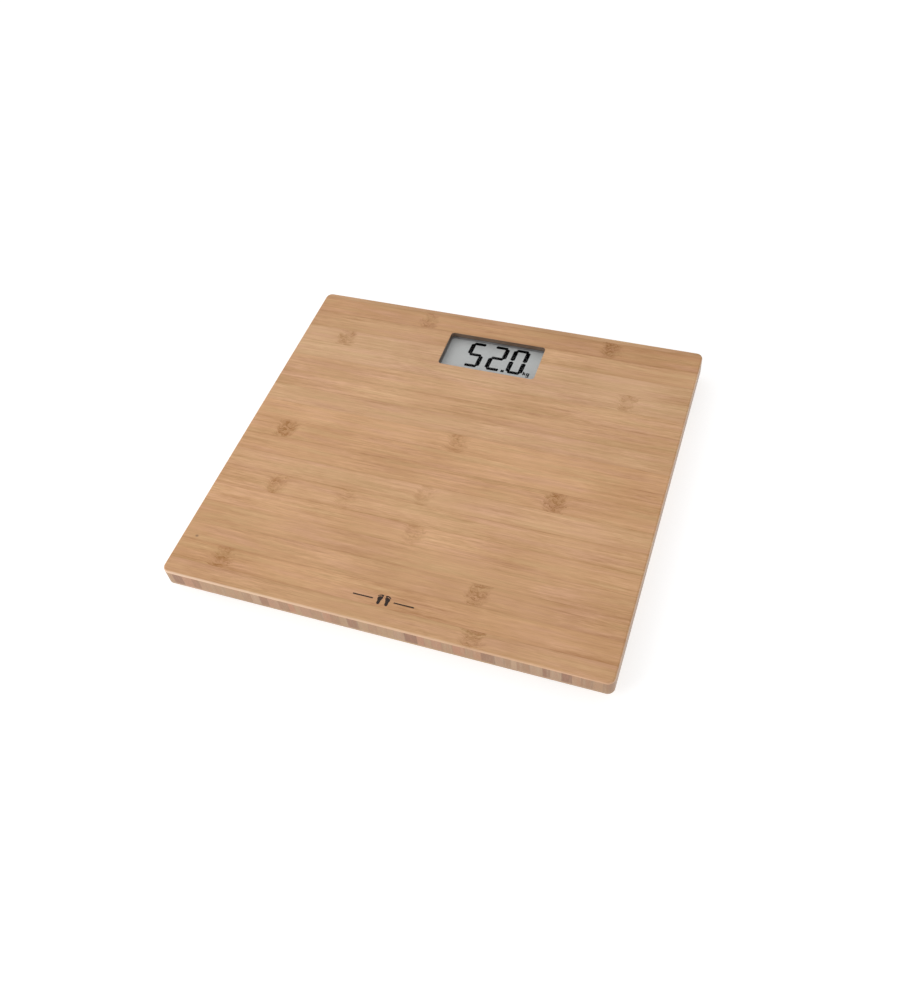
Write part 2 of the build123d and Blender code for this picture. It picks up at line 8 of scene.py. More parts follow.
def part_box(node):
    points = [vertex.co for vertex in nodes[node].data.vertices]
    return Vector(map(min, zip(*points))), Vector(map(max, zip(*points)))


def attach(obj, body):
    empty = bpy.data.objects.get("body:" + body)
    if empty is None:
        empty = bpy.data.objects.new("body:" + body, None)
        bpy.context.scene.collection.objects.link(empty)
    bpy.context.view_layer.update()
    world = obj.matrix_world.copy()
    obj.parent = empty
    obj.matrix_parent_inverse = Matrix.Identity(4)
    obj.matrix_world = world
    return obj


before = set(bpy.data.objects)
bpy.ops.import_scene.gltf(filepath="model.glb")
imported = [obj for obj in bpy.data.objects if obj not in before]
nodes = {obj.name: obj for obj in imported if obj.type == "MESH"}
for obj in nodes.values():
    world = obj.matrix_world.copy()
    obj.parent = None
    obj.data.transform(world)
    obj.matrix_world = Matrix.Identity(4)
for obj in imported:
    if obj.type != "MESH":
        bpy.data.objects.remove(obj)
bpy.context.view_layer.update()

MM = 0.001
bpy.context.scene.view_settings.view_transform = "Standard"


# Camera: where the photograph was taken from, in metres and degrees

LENS_MM = 36.39
SENSOR_MM = 36.0
NEAREST = 0.01
AZIMUTH = math.radians(24.89)
ELEVATION = math.radians(51.68)
ROLL = math.radians(-7.94)
DISTANCE = 0.68984
TARGET = Vector((0.01745, -0.02384, 0.0066))


def make_camera():
    back = Vector((
        math.sin(AZIMUTH) * math.cos(ELEVATION),
        -math.cos(AZIMUTH) * math.cos(ELEVATION),
        math.sin(ELEVATION),
    ))
    level = Vector((math.cos(AZIMUTH), math.sin(AZIMUTH), 0))
    upright = back.cross(level)
    right = level * math.cos(ROLL) + upright * math.sin(ROLL)
    up = upright * math.cos(ROLL) - level * math.sin(ROLL)
    data = bpy.data.cameras.new("camera")
    data.lens = LENS_MM
    data.sensor_width = SENSOR_MM
    data.clip_start = NEAREST
    camera = bpy.data.objects.new("camera", data)
    place = Matrix((right, up, back)).transposed().to_4x4()
    place.translation = TARGET + back * DISTANCE
    camera.matrix_world = place
    bpy.context.scene.collection.objects.link(camera)
    bpy.context.scene.camera = camera


# Materials

def linear(r, g, b):
    """A screen colour of 0 to 255 as a render colour."""
    def one(value):
        value /= 255
        return value / 12.92 if value <= 0.04045 else ((value + 0.055) / 1.055) ** 2.4
    return (one(r), one(g), one(b), 1.0)


class Num:
    """A number inside a material, which can be used in sums."""

    def __init__(self, graph, socket):
        self.graph = graph
        self.socket = socket

    def __add__(self, other):
        return self.graph.math("ADD", self, other)

    def __sub__(self, other):
        return self.graph.math("SUBTRACT", self, other)

    def __rsub__(self, other):
        return self.graph.math("SUBTRACT", other, self)

    def __mul__(self, other):
        return self.graph.math("MULTIPLY", self, other)

    def __truediv__(self, other):
        return self.graph.math("DIVIDE", self, other)

    def __abs__(self):
        return self.graph.math("ABSOLUTE", self)

    __radd__ = __add__
    __rmul__ = __mul__


class Graph:
    """A material and short ways to add nodes to it. Positions are in millimetres."""

    def __init__(self, name):
        self.material = bpy.data.materials.new(name)
        self.material.use_nodes = True
        self.tree = self.material.node_tree
        self.tree.nodes.clear()
        place = self.tree.nodes.new("ShaderNodeTexCoord").outputs["Object"]
        self.place = self.stretch(place, 1000.0)
        split = self.tree.nodes.new("ShaderNodeSeparateXYZ")
        self.put(split.inputs[0], self.place)
        self.x, self.y, self.z = (Num(self, socket) for socket in split.outputs)

    def put(self, socket, value):
        if isinstance(value, Num):
            value = value.socket
        if isinstance(value, bpy.types.NodeSocket):
            self.tree.links.new(value, socket)
        elif value is not None:
            socket.default_value = value

    def math(self, operation, a, b=None):
        node = self.tree.nodes.new("ShaderNodeMath")
        node.operation = operation
        self.put(node.inputs[0], a)
        self.put(node.inputs[1], b)
        return Num(self, node.outputs[0])

    def xyz(self, x, y, z):
        node = self.tree.nodes.new("ShaderNodeCombineXYZ")
        for socket, value in zip(node.inputs, (x, y, z)):
            self.put(socket, value)
        return node.outputs[0]

    def stretch(self, place, factor):
        """A position or colour times one number, or times one number for each direction."""
        node = self.tree.nodes.new("ShaderNodeVectorMath")
        per_axis = isinstance(factor, (tuple, bpy.types.NodeSocket))
        node.operation = "MULTIPLY" if per_axis else "SCALE"
        self.put(node.inputs[0], place[:3] if isinstance(place, tuple) else place)
        self.put(node.inputs[1] if per_axis else node.inputs["Scale"], factor)
        return node.outputs[0]

    def distance(self, x, y):
        """How far the point x, y is from zero."""
        return self.math("SQRT", x * x + y * y)

    def noise(self, place, scale=1.0, detail=2.0, rough=0.5, distortion=0.0):
        node = self.tree.nodes.new("ShaderNodeTexNoise")
        self.put(node.inputs["Vector"], place)
        self.put(node.inputs["Scale"], scale)
        self.put(node.inputs["Detail"], detail)
        self.put(node.inputs["Roughness"], rough)
        self.put(node.inputs["Distortion"], distortion)
        return Num(self, node.outputs["Fac"])

    def chance(self, value):
        """A random number from 0 to 1 for each whole number."""
        node = self.tree.nodes.new("ShaderNodeTexWhiteNoise")
        node.noise_dimensions = "1D"
        self.put(node.inputs["W"], value)
        return Num(self, node.outputs["Value"])

    def span(self, value, low, high, to_low=0.0, to_high=1.0, smooth=False):
        """The value's way from low to high as a way from to_low to to_high, held at both ends."""
        node = self.tree.nodes.new("ShaderNodeMapRange")
        node.interpolation_type = "SMOOTHSTEP" if smooth else "LINEAR"
        for name, number in zip(("Value", "From Min", "From Max", "To Min", "To Max"),
                                (value, low, high, to_low, to_high)):
            self.put(node.inputs[name], number)
        return Num(self, node.outputs["Result"])

    def mix(self, share, a, b):
        node = self.tree.nodes.new("ShaderNodeMix")
        node.data_type = "RGBA"
        self.put(node.inputs[0], share)
        self.put(node.inputs[6], a)
        self.put(node.inputs[7], b)
        return node.outputs[2]

    def ramp(self, value, stops, stepped=False):
        node = self.tree.nodes.new("ShaderNodeValToRGB")
        node.color_ramp.interpolation = "CONSTANT" if stepped else "LINEAR"
        elements = node.color_ramp.elements
        while len(elements) < len(stops):
            elements.new(1.0)
        for element, (at, colour) in zip(elements, stops):
            element.position = at
            element.color = colour
        self.put(node.inputs[0], value)
        return node.outputs[0]

    def bump(self, height, distance_mm, strength=1.0):
        node = self.tree.nodes.new("ShaderNodeBump")
        self.put(node.inputs["Height"], height)
        self.put(node.inputs["Distance"], distance_mm * MM)
        self.put(node.inputs["Strength"], strength)
        return node.outputs[0]

    def surface(self, base, rough, normal=None, **constants):
        shader = self.tree.nodes.new("ShaderNodeBsdfPrincipled")
        self.put(shader.inputs["Base Color"], base)
        self.put(shader.inputs["Roughness"], rough)
        self.put(shader.inputs["Normal"], normal)
        for name, value in constants.items():
            shader.inputs[name.replace("_", " ")].default_value = value
        self.finish(shader.outputs[0])
        return self.material

    def finish(self, shader):
        output = self.tree.nodes.new("ShaderNodeOutputMaterial")
        self.put(output.inputs["Surface"], shader)


# Bamboo. Lengths are in millimetres from the board's centre, heights from the floor

# Face strips: their width, and where the first one starts in front of the board
STRIP = 16.35
FIRST_SEAM = -143.4
# Lightness and share of blue of each strip, from the front edge to the back edge
STRIP_TINTS = (
    (0.94, 0.97), (0.98, 0.94), (0.93, 0.92), (0.96, 0.95), (1.033, 1.00), (1.05, 1.04),
    (1.03, 1.04), (0.98, 0.93), (1.02, 0.955), (1.045, 0.98), (1.005, 1.05), (0.985, 0.995),
    (1.01, 1.03), (1.01, 1.12), (1.03, 1.14), (0.97, 0.99), (0.88, 0.84), (0.86, 0.98),
)
# Place and strength of each knot
TOP_KNOTS = (
    (-115, 93, 0.75), (-58, 125, 0.8), (84, 128, 0.95), (107, 79, 0.7), (-121, -5, 1.0),
    (3, 13, 0.7), (-106, -54, 0.7), (-54, -54, 0.3), (83, -21, 1.02), (-4, -37, 0.45),
    (0, -70, 0.45), (-115, -119, 0.56), (55, -102, 1.0), (62, -133, 0.7),
)
UNDER_KNOTS = (
    (-84, 77, 0.9), (96, 12, 0.8), (-22, -20, 0.7), (40, -86, 0.9), (-118, -37, 0.8),
    (128, -70, 0.6), (-60, -119, 0.8), (72, 126, 0.7), (14, 28, 0.6), (-132, 110, 0.7),
)
# How far a knot reaches along its strip and across it
KNOT_REACH = (9.0, 14.0)
# Small dark fleck near the front left corner
SPECK = (-139.5, -108.0)
SPECK_STRETCH = 1.3
# Painted highlight: the rounded upper edge is painted pale between two heights, most of all at its
# left end
EDGE_STARTS = 20.98
EDGE_ENDS = 20.55
TOP_PLY_LOW = 19.0
BOARD_HALF = 150.0
HIGHLIGHT_LEFT = 0.60
HIGHLIGHT_RIGHT = 0.08
PAINTED_HIGHLIGHT = linear(244, 216, 190)
PINK_FIBRE = linear(214, 158, 130)
GOLD_FIBRE = linear(206, 169, 114)
SPECK_BROWN = linear(96, 60, 34)
VARNISH = {"Coat_Weight": 0.10, "Coat_Roughness": 0.25}
# Shifts in the fibre pattern, so that no two strips and no two faces are alike
STRIP_SHIFT = 173.0
UNDER_SHIFT = 431.0


def strip_ramp(g, index, base):
    """The colour of each strip, by its number counted from the front."""
    stops = []
    for n, (light, blue) in enumerate(STRIP_TINTS):
        colour = (base[0] * light, base[1] * light * blue ** 0.4, base[2] * light * blue, 1.0)
        stops.append((n / len(STRIP_TINTS), colour))
    return g.ramp((index + 0.5) / len(STRIP_TINTS), stops, stepped=True)


def knots(g, index, places):
    """How much of a knot is at each point, 0 to about 1; a knot stays in its own strip."""
    wobble = (g.noise(g.stretch(g.place, (0.10, 0.24, 0.24)), 1.0, 3, 0.6) - 0.5) * 15.0
    total = None
    for x, y, strength in places:
        away = g.distance((g.x + wobble - x) / KNOT_REACH[0], (g.y - y) / KNOT_REACH[1])
        own_strip = math.floor((y - FIRST_SEAM) / STRIP)
        inside = g.math("COMPARE", index, float(own_strip))
        one = g.span(away, 1.0, 0.35, 0.0, strength, smooth=True) * inside
        total = one if total is None else g.math("MAXIMUM", total, one)
    return total


def bamboo_face(name, colour, places, shift):
    """Face ply: strips along X with faint seams, long fibres and curly knots, and a painted
    highlight on the top ply's rounded upper edge.
    """
    g = Graph(name)
    row = (g.y - FIRST_SEAM) / STRIP
    index = g.math("FLOOR", row + 0.0001)
    edge = (0.5 - abs(g.math("FRACT", row) - 0.5)) * STRIP
    knot = knots(g, index, places)
    along = g.x + index * STRIP_SHIFT + shift
    sway = g.noise(g.xyz(g.x * 0.011, g.y * 0.04, index), 1.0, 2) * 2.2
    curl = g.noise(g.place, 0.3, 3) * knot * 8.0
    across = g.y + sway + curl

    def fibres(length, pitch, detail, rough):
        """Streaks of a given length and spacing, as a number round zero."""
        place = g.xyz(along / length, across / pitch, g.z / pitch)
        return g.noise(place, 1.0, detail, rough) - 0.5

    broad = fibres(130.0, 5.5, 2.0, 0.5)
    lines = fibres(55.0, 1.6, 4.0, 0.66)
    hairs = fibres(9.0, 0.55, 2.0, 0.6)
    cloud = g.noise(g.stretch(g.place, (0.012, 0.03, 0.03)), 1.0, 2) - 0.5
    strip = g.noise(g.xyz(along / 75.0, index * 3.7, 0.0), 1.0, 2) - 0.5

    patchy = g.span(g.noise(g.xyz(along / 35.0, index, 0.0), 1.0, 2), 0.42, 0.66)
    seam = g.span(edge, 0.45, 0.1) * patchy
    shade = g.span(edge, 3.0, 0.0, smooth=True) * g.chance(index + 0.5)
    liveliness = g.noise(g.xyz(along / 60.0, index * 5.3, g.y * 0.05), 1.0, 1)
    calm = g.span(liveliness, 0.35, 0.65, 0.65, 1.35)
    tone = (broad * 0.24 + lines * 0.58 + hairs * 0.42) * calm + cloud * 0.10 + strip * 0.40
    tone = tone - seam * 0.15 - shade * 0.08

    dashes = g.noise(g.xyz(g.x / 4.4, across / 1.4, g.z / 1.4), 1.0, 2, 0.6, 0.9)
    mottle = g.noise(g.place, 0.26, 3, 0.6)
    curls = g.span(mottle, 0.36, 0.60, 0.06, 0.18) + g.span(dashes, 0.45, 0.60) * 0.24
    tone = tone - knot * curls

    hue = g.noise(g.xyz(along / 55.0, across / 6.5, g.z / 6.5), 1.0, 2)
    base = strip_ramp(g, index, colour)
    base = g.mix(g.span(hue, 0.51, 0.68, 0.0, 0.28), base, PINK_FIBRE)
    base = g.mix(g.span(hue, 0.49, 0.32, 0.0, 0.32), base, GOLD_FIBRE)
    base = g.stretch(base, g.xyz(1.0 + tone, 1.0 + tone * 1.35, 1.0 + tone * 2.0))
    away = g.distance((g.x - SPECK[0]) / SPECK_STRETCH, g.y - SPECK[1])
    base = g.mix(g.span(away, 1.2, 0.4, 0.0, 0.6), base, SPECK_BROWN)
    # Painted highlight: the rounded upper edge is mixed towards a pale colour, more at the left
    # end than at the right
    highlight_band = g.span(g.z, EDGE_STARTS, EDGE_ENDS) * g.math("GREATER_THAN", g.z, TOP_PLY_LOW)
    highlight_strength = g.span(g.x, -BOARD_HALF, BOARD_HALF, HIGHLIGHT_LEFT, HIGHLIGHT_RIGHT)
    base = g.mix(highlight_band * highlight_strength, base, PAINTED_HIGHLIGHT)
    # The window's walls take the dark stain, with painted shade on the two end walls
    base = g.mix(window_stain(g), base, g.stretch(wall_stain_and_shade(g), 1.0 + lines))
    rough = 0.42 + lines * 0.14
    height = lines * 0.6 + hairs * 0.4 - seam * 0.8
    return g.surface(base, rough, g.bump(height, 0.06, 0.4), **VARNISH)


# Half size and middle of the display window, and the heights between which its walls are stained
WINDOW_HALF = (37.0, 17.0)
WINDOW_Y = sum(corner.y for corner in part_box("display_lens")) / 2 / MM
STAIN_LOW = 16.0
STAIN_TOP = 20.55
WALL_SKIN = 0.1


def window_stain(g):
    """1 on the display window's walls, which are stained dark."""
    x = g.math("LESS_THAN", abs(g.x), WINDOW_HALF[0] + WALL_SKIN)
    y = g.math("LESS_THAN", abs(g.y - WINDOW_Y), WINDOW_HALF[1] + WALL_SKIN)
    low = g.math("LESS_THAN", g.z, STAIN_TOP)
    high = g.math("GREATER_THAN", g.z, STAIN_LOW)
    return x * y * low * high


def wall_stain_and_shade(g):
    """The stain's colour, with painted shade that makes the window's two end walls darker."""
    # Painted shade: the end walls get the darker of the two colours
    shaded_end_wall = g.math("GREATER_THAN", abs(g.x), WINDOW_HALF[0] - WALL_SKIN)
    return g.mix(shaded_end_wall, linear(116, 94, 76), linear(96, 80, 68))


# Width of the core's strips, and the colours they are drawn from
CORE_STRIP = 6.2
END_GRAIN = (
    (0.0, linear(147, 101, 70)),
    (0.14, linear(164, 120, 84)),
    (0.34, linear(174, 134, 97)),
    (0.52, linear(180, 142, 103)),
    (0.70, linear(183, 127, 90)),
    (0.86, linear(176, 139, 107)),
    (1.0, linear(190, 153, 117)),
)


def bamboo_core():
    """Core ply: strips along Y of uneven width, with end grain on the front and back."""
    g = Graph("bamboo_core")
    uneven = g.noise(g.xyz(g.x * 0.09, 3.3, 0.0), 1.0, 1) * 10.0
    row = (g.x + uneven) / CORE_STRIP
    index = g.math("FLOOR", row)
    inside = g.math("FRACT", row)
    gap = g.span(g.math("MINIMUM", inside, 1.0 - inside), 0.09, 0.02)
    pick = g.chance(index) * 0.58 + g.math("PINGPONG", index, 1.0) * 0.42
    base = g.ramp(pick, END_GRAIN)
    grain = g.noise(g.xyz(g.x * 1.6 + index * 7.7, g.y * 0.02, g.z), 1.0, 3, 0.6)
    dots = g.noise(g.stretch(g.place, (3.0, 0.05, 3.0)), 1.0, 1)
    streak = g.noise(g.xyz(g.x * 0.42 + index * 3.1, g.y * 0.01, g.z * 0.05), 1.0, 2, 0.7)
    base = g.mix(g.span(streak, 0.5, 0.72, 0.0, 0.45), base, linear(186, 132, 104))
    base = g.mix(g.span(streak, 0.5, 0.28, 0.0, 0.45), base, linear(190, 160, 130))
    tone = g.span(grain, 0.3, 0.7, 0.86, 1.08) - g.span(dots, 0.55, 0.75) * 0.14 - gap * 0.10
    # The window's walls take the dark stain, with painted shade on the two end walls
    base = g.mix(window_stain(g), g.stretch(base, tone), wall_stain_and_shade(g))
    normal = g.bump(grain - gap, 0.05, 0.4)
    return g.surface(base, 0.44, normal, **VARNISH)


# Plastics, rubbers and metals

SPARK_GRAIN = 0.35
SPARK_DEPTH = 0.02
DUST = linear(150, 145, 138)
TARNISH = linear(96, 92, 86)
# Painted light: strength of the glow given to the reflective LCD, which lightens the shade in the
# window's recess
LCD_PAINTED_GLOW = 0.32
# Fineness of the scratches in each direction, by the way the metal is brushed
BRUSHED = {"x": (0.05, 4.0, 4.0), "y": (4.0, 0.05, 4.0), None: (1.4, 1.4, 1.4)}


def moulded(name, colour, rough=0.45):
    """Spark-eroded plastic: fine grain, faint flow marks and slightly rubbed high spots."""
    g = Graph(name)
    grain = g.noise(g.place, 1.0 / SPARK_GRAIN, 2, 0.6)
    flow = g.noise(g.stretch(g.place, (0.05, 0.02, 0.05)), 1.0, 3)
    tone = g.span(flow, 0.3, 0.7, 0.90, 1.10) + g.span(grain, 0.5, 0.8, 0.0, 0.12)
    roughness = g.span(grain, 0.3, 0.7, rough - 0.06, rough + 0.08)
    return g.surface(g.stretch(colour, tone), roughness, g.bump(grain, SPARK_DEPTH, 0.6))


def rubber(name, colour, rough=0.72):
    """Rubber or foam with a little dust on it."""
    g = Graph(name)
    fine = g.noise(g.place, 4.0, 3, 0.6)
    dust = g.noise(g.place, 0.25, 4, 0.65)
    base = g.mix(g.span(dust, 0.52, 0.75, 0.0, 0.22), colour, DUST)
    base = g.stretch(base, g.span(fine, 0.3, 0.7, 0.92, 1.08))
    roughness = g.span(dust, 0.4, 0.7, rough - 0.08, rough + 0.12)
    return g.surface(base, roughness, g.bump(fine, 0.02, 0.5))


def metal(name, colour, rough, brushed_along=None):
    """Bare or plated metal with fine scratches and dull patches."""
    g = Graph(name)
    scratch = g.noise(g.stretch(g.place, BRUSHED[brushed_along]), 1.0, 3, 0.65)
    dull = g.noise(g.place, 0.4, 3)
    base = g.mix(g.span(dull, 0.5, 0.8, 0.0, 0.15), colour, TARNISH)
    base = g.stretch(base, g.span(scratch, 0.3, 0.7, 0.93, 1.05))
    roughness = g.span(scratch, 0.3, 0.7, rough - 0.06, rough + 0.1)
    roughness = roughness + g.span(dull, 0.5, 0.8, 0.0, 0.1)
    return g.surface(base, roughness, g.bump(scratch, 0.008, 0.4), Metallic=1.0)


def insulation(name, colour):
    """Soft wire insulation, faintly banded."""
    g = Graph(name)
    bands = g.noise(g.place, 0.8, 3)
    base = g.stretch(colour, g.span(bands, 0.3, 0.7, 0.90, 1.06))
    return g.surface(base, g.span(bands, 0.3, 0.7, 0.36, 0.50), g.bump(bands, 0.01, 0.3))


def lcd_face():
    """Grey reflective LCD: cool grey, faintly cloudy, with a very fine cell texture, and a faint
    painted glow that lightens the shade in the window's recess.
    """
    g = Graph("lcd_face")
    haze = g.noise(g.place, 0.03, 2)
    cell = g.noise(g.place, 9.0, 1)
    base = g.mix(g.span(haze, 0.3, 0.7), linear(168, 168, 168), linear(174, 174, 173))
    base = g.stretch(base, g.span(cell, 0.3, 0.7, 0.985, 1.015))
    # Painted light: the LCD glows faintly in its own grey
    return g.surface(base, g.span(cell, 0.3, 0.7, 0.40, 0.46), Specular_IOR_Level=0.2,
                     Emission_Color=linear(170, 169, 168), Emission_Strength=LCD_PAINTED_GLOW)


def lcd_ink():
    """The dark of the display's segments."""
    g = Graph("lcd_ink")
    edge = g.noise(g.place, 2.0, 2)
    base = g.mix(g.span(edge, 0.3, 0.7), linear(2, 2, 3), linear(7, 7, 9))
    return g.surface(base, g.span(edge, 0.3, 0.7, 0.80, 0.90), Specular_IOR_Level=0.0)


def print_ink():
    """Matt black ink that lets a little of the wood's grain through."""
    g = Graph("print_ink")
    worn = g.noise(g.stretch(g.place, (0.5, 2.2, 2.2)), 1.0, 3)
    base = g.mix(g.span(worn, 0.45, 0.75), linear(34, 24, 20), linear(66, 48, 38))
    return g.surface(base, g.span(worn, 0.3, 0.7, 0.50, 0.62), Specular_IOR_Level=0.3)


def clear_pane(name, tint):
    """Thin clear plastic: light goes straight through it, and it shines more at a low angle."""
    g = Graph(name)
    smear = g.noise(g.place, 0.12, 3, 0.6)
    clear = g.tree.nodes.new("ShaderNodeBsdfTransparent")
    g.put(clear.inputs["Color"], g.mix(g.span(smear, 0.3, 0.7), tint, (0.99, 0.995, 0.995, 1.0)))
    shine = g.tree.nodes.new("ShaderNodeBsdfGlossy")
    g.put(shine.inputs["Roughness"], g.span(smear, 0.35, 0.7, 0.04, 0.08))
    weight = g.tree.nodes.new("ShaderNodeLayerWeight")
    facing = Num(g, weight.outputs["Facing"])
    both = g.tree.nodes.new("ShaderNodeMixShader")
    g.put(both.inputs[0], g.math("POWER", facing, 5.0) * 0.6 + 0.004)
    g.put(both.inputs[1], clear.outputs[0])
    g.put(both.inputs[2], shine.outputs[0])
    g.finish(both.outputs[0])
    return g.material


def solder_mask():
    """Green circuit board: copper runs under a glossy mask."""
    g = Graph("solder_mask")
    runs = g.tree.nodes.new("ShaderNodeTexBrick")
    g.put(runs.inputs["Vector"], g.place)
    runs.inputs["Scale"].default_value = 0.16
    runs.inputs["Mortar Size"].default_value = 0.03
    runs.inputs["Color1"].default_value = linear(14, 70, 38)
    runs.inputs["Color2"].default_value = linear(17, 78, 42)
    runs.inputs["Mortar"].default_value = linear(40, 112, 60)
    weave = g.noise(g.place, 3.0, 2)
    base = g.stretch(runs.outputs["Color"], g.span(weave, 0.3, 0.7, 0.92, 1.06))
    return g.surface(base, 0.28, g.bump(runs.outputs["Fac"], 0.02, 0.4))


def speckled(name, low, high, rough):
    """A surface that varies between two colours in fine specks."""
    g = Graph(name)
    speck = g.noise(g.place, 2.2, 3, 0.6)
    return g.surface(g.mix(g.span(speck, 0.35, 0.65), low, high), rough, g.bump(speck, 0.02, 0.4))


def paint(material, *names):
    """Give CAD nodes a material."""
    for name in names:
        slots = nodes[name].data.materials
        slots.clear()
        slots.append(material)


CORNERS = ("front_left", "front_right", "back_left", "back_right")


def at_corners(stem):
    """The names of the four CAD nodes that share a stem."""
    return [f"{stem}_{corner}" for corner in CORNERS]


def paint_cad_nodes():
    black = moulded("black_abs", linear(34, 34, 36))
    paint(bamboo_face("bamboo_top", linear(212, 162, 114), TOP_KNOTS, 0.0), "bamboo_top_ply")
    paint(bamboo_face("bamboo_under", linear(180, 146, 112), UNDER_KNOTS, UNDER_SHIFT),
          "bamboo_bottom_ply")
    paint(bamboo_core(), "bamboo_core_ply")
    # Painted reflection: the display frame is black plastic, painted mid-grey to stand in for the
    # bright LCD it reflects inside the recess
    paint(moulded("frame_abs", linear(122, 119, 119), rough=0.5), "display_frame")
    paint(rubber("gasket_foam", linear(26, 25, 25), 0.9), "display_gasket")
    paint(clear_pane("lens_clear", (0.97, 0.98, 0.98, 1.0)), "display_lens")
    paint(lcd_face(), "lcd_front_glass", "lcd_rear_glass")
    paint(metal("reflector_film", linear(190, 192, 194), 0.35), "lcd_reflector")
    paint(rubber("zebra_rubber", linear(196, 150, 150), 0.6), "zebra_strips")
    paint(solder_mask(), "circuit_board")
    paint(speckled("chip_epoxy", linear(14, 14, 15), linear(24, 24, 26), 0.22), "chip_coating")
    paint(speckled("ceramic_parts", linear(118, 96, 70), linear(150, 128, 100), 0.45),
          "surface_parts")
    paint(metal("solder_tin", linear(198, 198, 202), 0.22), "solder_joints")
    paint(metal("zinc_steel", linear(184, 186, 192), 0.3),
          "cover_screws", "pcb_screws", "foot_screws")
    paint(moulded("switch_black", linear(22, 22, 24), 0.4), "unit_switch", "unit_switch_plunger")
    paint(moulded("button_grey", linear(170, 170, 168), 0.42), "unit_button")
    paint(black, "electronics_cover", "channel_cover_cross", "channel_cover_spine",
          "channel_covers_back")
    paint(moulded("door_abs", linear(37, 37, 39), 0.48), "battery_door")
    paint(metal("cell_steel", linear(206, 206, 208), 0.24), "coin_cell")
    paint(metal("nickel_strip", linear(206, 200, 184), 0.2, "y"), "battery_contact_negative",
          "battery_contact_positive")
    paint(moulded("foot_abs", linear(36, 36, 38), 0.5), *at_corners("foot_housing"),
          *at_corners("foot_ring"), *at_corners("foot_cap"))
    paint(rubber("pad_rubber", linear(52, 51, 50)), *at_corners("foot_pad"))
    paint(metal("load_steel", linear(176, 178, 182), 0.32, "x"), *at_corners("load_cell"))
    paint(speckled("gauge_foil", linear(190, 128, 52), linear(206, 150, 76), 0.3),
          "strain_gauges")
    paint(speckled("silicone_white", linear(222, 222, 216), linear(236, 236, 232), 0.4),
          "gauge_coatings")
    paint(insulation("lead_red", linear(176, 26, 22)), "red_leads")
    paint(insulation("lead_white", linear(226, 226, 220)), "white_leads")
    paint(insulation("lead_black", linear(20, 20, 21)), "black_leads")


# Flat shapes: display segments and print

def prism(name, outlines, low, high, material, body):
    """Flat pieces of the given outlines in millimetres, between two heights, as one object."""
    mesh = bmesh.new()
    for outline in outlines:
        base = [mesh.verts.new((x * MM, y * MM, low * MM)) for x, y in outline]
        roof = [mesh.verts.new((x * MM, y * MM, high * MM)) for x, y in outline]
        mesh.faces.new(base)
        mesh.faces.new(roof)
        for n in range(len(outline)):
            mesh.faces.new((base[n - 1], base[n], roof[n], roof[n - 1]))
    bmesh.ops.recalc_face_normals(mesh, faces=mesh.faces)
    data = bpy.data.meshes.new(name)
    mesh.to_mesh(data)
    mesh.free()
    data.materials.append(material)
    piece = bpy.data.objects.new(name, data)
    bpy.context.scene.collection.objects.link(piece)
    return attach(piece, body)


def block(x0, y0, x1, y1):
    """Rectangle between two corners."""
    return [(x0, y0), (x1, y0), (x1, y1), (x0, y1)]


def stroke(start, end, thick):
    """Straight stroke of a given thickness between two points."""
    start, end = Vector(start), Vector(end)
    across = (end - start).orthogonal().normalized() * thick / 2
    return [(p.x, p.y) for p in (start - across, end - across, end + across, start + across)]


def oval(x, y, rx, ry, steps):
    """Closed oval round a point."""
    angles = [math.tau * n / steps for n in range(steps)]
    return [(x + rx * math.cos(a), y + ry * math.sin(a)) for a in angles]


# The reading. STROKE_W and STROKE_H are the thickness of upright and level segments
DIGIT_W = 13.0
DIGIT_H = 25.8
STROKE_W = 3.4
STROKE_H = 2.7
SLANT = math.tan(math.radians(2.3))
SEGMENT_GAP = 0.55
SEGMENT_POINT = 0.5
SEGMENT_SLACK = 0.1
SEGMENTS = {"5": "afgcd", "2": "abged", "0": "abcdef"}
# Each digit and its left end
READING = (("5", -21.9), ("2", -4.5), ("0", 11.8))
READING_Y = 92.9
# Left end, right end and height of the decimal point
POINT = (8.7, 11.2, 2.3)
UNIT_X = 25.5
UNIT_Y = 93.6
UNIT_STROKE = 0.9
INK_RISE = 0.03


def bar(x, y, length, thick, upright):
    """Hexagon segment centred at a point, with its ends cut to points."""
    half, t = length / 2, thick / 2
    cut = t * SEGMENT_POINT
    flat = half - cut
    points = [(-half, 0), (-flat, t), (flat, t), (half, 0), (flat, -t), (-flat, -t)]
    if upright:
        points = [(-b, a) for a, b in points]
    return [(x + a, y + b) for a, b in points]


def digit(letters, left, bottom):
    """The seven-segment outlines named by letters, leaning to the right."""
    w, h = DIGIT_W, DIGIT_H
    x0, x1 = STROKE_W / 2, w - STROKE_W / 2
    y0, ym, y1 = STROKE_H / 2, h / 2, h - STROKE_H / 2
    wide = x1 - x0 - SEGMENT_SLACK
    tall = ym - y0 - SEGMENT_GAP
    shapes = {
        "a": bar(w / 2, y1, wide, STROKE_H, False),
        "g": bar(w / 2, ym, wide, STROKE_H, False),
        "d": bar(w / 2, y0, wide, STROKE_H, False),
        "f": bar(x0, (ym + y1) / 2, tall, STROKE_W, True),
        "b": bar(x1, (ym + y1) / 2, tall, STROKE_W, True),
        "e": bar(x0, (ym + y0) / 2, tall, STROKE_W, True),
        "c": bar(x1, (ym + y0) / 2, tall, STROKE_W, True),
    }
    return [[(left + x + y * SLANT, bottom + y) for x, y in shapes[letter]] for letter in letters]


